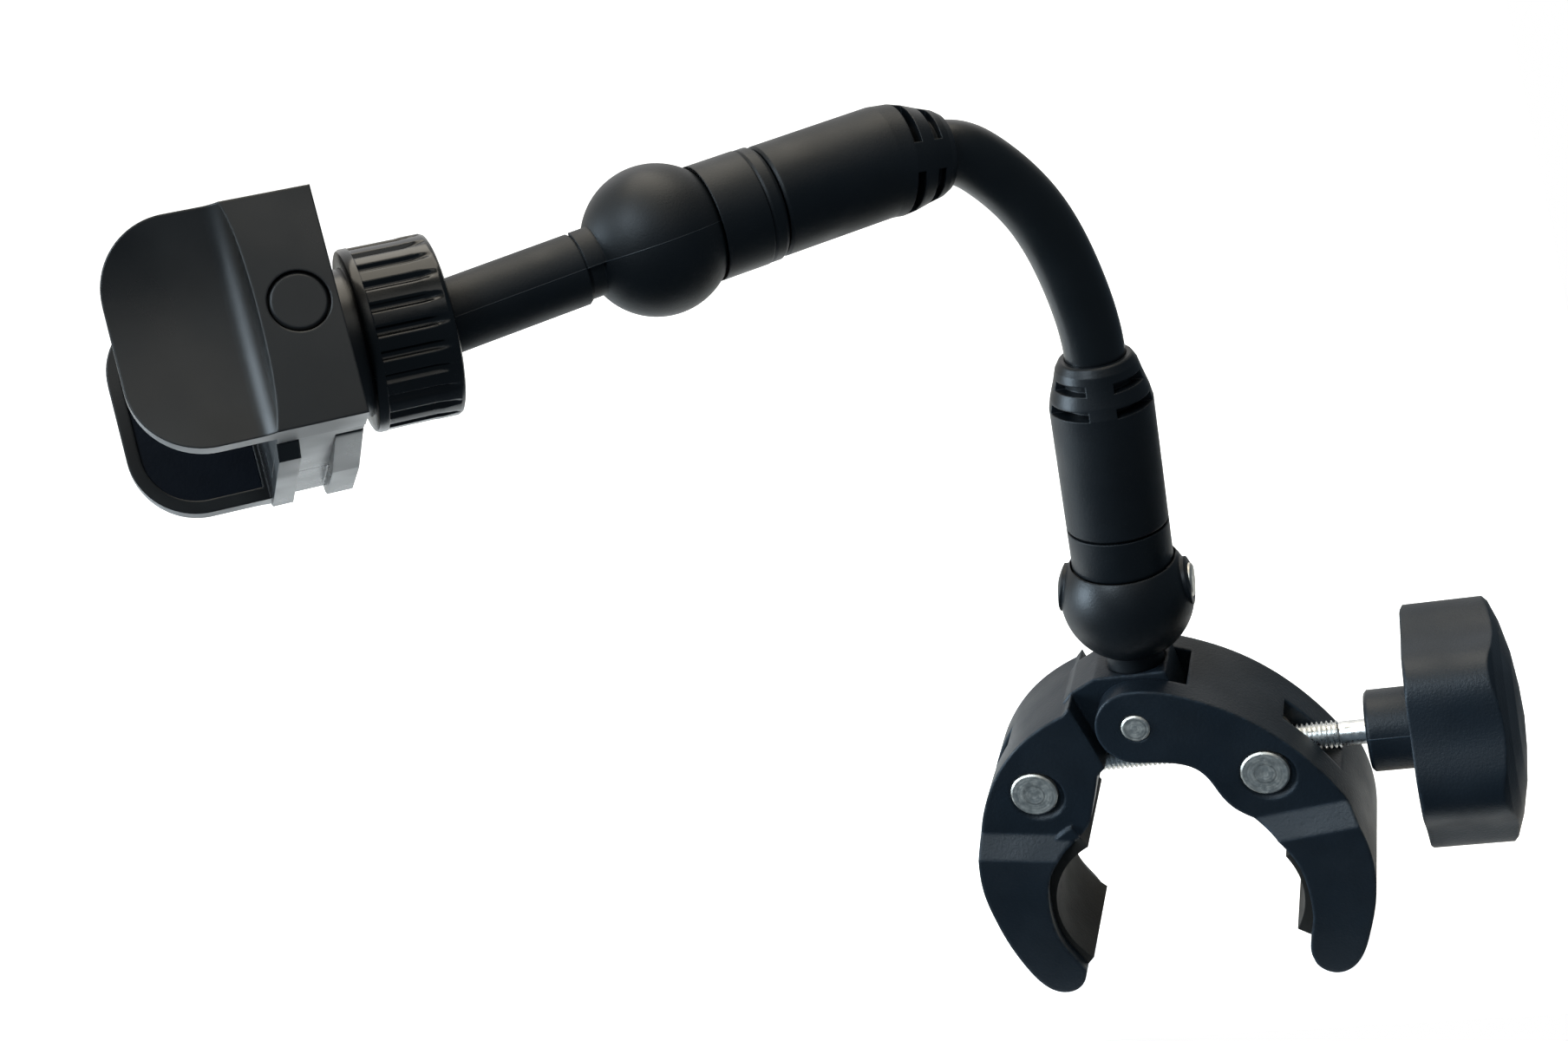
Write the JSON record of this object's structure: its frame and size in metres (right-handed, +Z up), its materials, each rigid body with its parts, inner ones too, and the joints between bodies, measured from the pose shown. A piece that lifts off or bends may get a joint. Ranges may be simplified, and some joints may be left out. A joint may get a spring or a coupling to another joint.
{
  "type": "phone clamp holder",
  "caption": "Phone holder with a hinged screw clamp for a round bar, a knuckled flexible arm and a sprung phone clip on a ball joint.",
  "frame": {"origin": "on the axis of the gripped bar, at the middle of the clamp's width, for the jaw that stays still", "axes": "+X along the clamp screw towards the knob, +Y along the bar away from the viewer, +Z up towards the arm"},
  "size_m": [0.2263, 0.1563, 0.2282],
  "materials": {
    "black_plastic": "satin, finely grained",
    "nut_plastic": "glossy",
    "sheath": "smooth semi-gloss sheath",
    "liner_plastic": "smooth",
    "jaw_rubber": "matt grey-brown",
    "pad_rubber": "matt black",
    "zinc_steel": "dull zinc",
    "bright_screw": "bright zinc"
  },
  "bodies": {
    "left_jaw": {"left_jaw": "black_plastic", "left_jaw_pad": "jaw_rubber", "hinge_pin": "zinc_steel", "lower_ball": "black_plastic", "lower_pivot_pin": "zinc_steel"},
    "right_jaw": {"right_jaw": "black_plastic", "right_jaw_pad": "jaw_rubber"},
    "left_barrel": {"left_barrel_nut": "zinc_steel"},
    "right_barrel": {"right_barrel": "zinc_steel"},
    "thrust_bush": {"thrust_bush": "liner_plastic"},
    "knob": {"clamp_screw": "bright_screw", "clamp_knob": "black_plastic"},
    "lower_collar": {"lower_collar": "black_plastic", "lower_swivel_ring": "zinc_steel"},
    "lower_sleeve": {"lower_sleeve": "black_plastic", "gooseneck_sheath": "sheath"},
    "upper_sleeve": {"upper_sleeve": "black_plastic"},
    "upper_collar": {"upper_collar": "black_plastic", "upper_spacer_ring": "black_plastic", "upper_swivel_ring": "zinc_steel"},
    "stem": {"upper_ball_stem": "black_plastic"},
    "ball_liner": {"ball_liner": "liner_plastic"},
    "lock_nut": {"lock_nut": "nut_plastic"},
    "clip": {"clip_spine": "black_plastic", "far_jaw": "black_plastic", "far_jaw_pad": "pad_rubber", "return_spring": "zinc_steel"},
    "near_jaw": {"near_jaw": "black_plastic", "near_jaw_pad": "pad_rubber", "near_jaw_plug": "black_plastic", "guide_rod": "zinc_steel", "spring_stop": "zinc_steel"}
  },
  "joints": [
    {"name": "jaw_hinge", "type": "hinge", "parent": "left_jaw", "child": "right_jaw", "pos_m": [0.00755, 0, 0.04284], "axis": [0, 1, 0], "range_deg": [-8, 30]},
    {"name": "left_barrel_pivot", "type": "hinge", "parent": "left_jaw", "child": "left_barrel", "pos_m": [-0.01675, 0, 0.02934], "axis": [0, 1, 0], "range_deg": [-5, 16]},
    {"name": "right_barrel_pivot", "type": "hinge", "parent": "right_jaw", "child": "right_barrel", "pos_m": [0.03185, 0, 0.02934], "axis": [0, 1, 0], "range_deg": [-16, 5]},
    {"name": "screw_feed", "type": "slide", "parent": "left_barrel", "child": "thrust_bush", "axis": [1, 0, 0], "range_m": [-0.001, 0.01]},
    {"name": "knob_spin", "type": "hinge", "parent": "thrust_bush", "child": "knob", "pos_m": [0.05255, 0, 0.02934], "axis": [1, 0, 0], "range_deg": [-365, 3605]},
    {"name": "lower_tilt", "type": "hinge", "parent": "left_jaw", "child": "lower_collar", "pos_m": [0.00961, -0.00044, 0.07014], "axis": [0.9972, 0.0012, -0.075], "range_deg": [-12, 3]},
    {"name": "lower_twist", "type": "hinge", "parent": "lower_collar", "child": "lower_sleeve", "pos_m": [0.00941, -0.0004, 0.06755], "axis": [0.075, -0.016, 0.9971], "continuous": true},
    {"name": "gooseneck_bend", "type": "hinge", "parent": "lower_sleeve", "child": "upper_sleeve", "pos_m": [0.00664, -0.00414, 0.15605], "axis": [-0.6225, 0.7826, 0], "range_deg": [-25, 25], "deforming": ["gooseneck_sheath"]},
    {"name": "upper_twist", "type": "hinge", "parent": "upper_sleeve", "child": "upper_collar", "pos_m": [-0.05071, -0.04793, 0.17284], "axis": [-0.7824, -0.6224, 0.022], "continuous": true},
    {"name": "upper_tilt", "type": "hinge", "parent": "upper_collar", "child": "stem", "pos_m": [-0.05071, -0.04793, 0.17284], "axis": [-0.6225, 0.7826, 0], "range_deg": [-18, 18]},
    {"name": "clip_yaw", "type": "hinge", "parent": "stem", "child": "ball_liner", "pos_m": [-0.08725, -0.077, 0.17303], "axis": [-0.164, 0.4468, 0.8795], "range_deg": [-8, 8]},
    {"name": "clip_pitch", "type": "hinge", "parent": "ball_liner", "child": "lock_nut", "pos_m": [-0.08725, -0.077, 0.17303], "axis": [-0.5507, 0.6982, -0.4574], "range_deg": [-8, 8]},
    {"name": "clip_roll", "type": "hinge", "parent": "lock_nut", "child": "clip", "pos_m": [-0.08725, -0.077, 0.17303], "axis": [-0.8184, -0.5594, 0.1315], "continuous": true},
    {"name": "jaw_slide", "type": "slide", "parent": "clip", "child": "near_jaw", "axis": [0.5507, -0.6982, 0.4574], "range_m": [0, 0.03], "stiffness_N_per_m": 150, "springref_m": -0.03, "deforming": ["return_spring"]}
  ],
  "couplings": [
    {"joint": "left_barrel_pivot", "follows": "jaw_hinge", "ratio": 0.5},
    {"joint": "right_barrel_pivot", "follows": "jaw_hinge", "ratio": -0.5},
    {"joint": "knob_spin", "follows": "screw_feed", "rad_per_m": 6283.2}
  ]
}
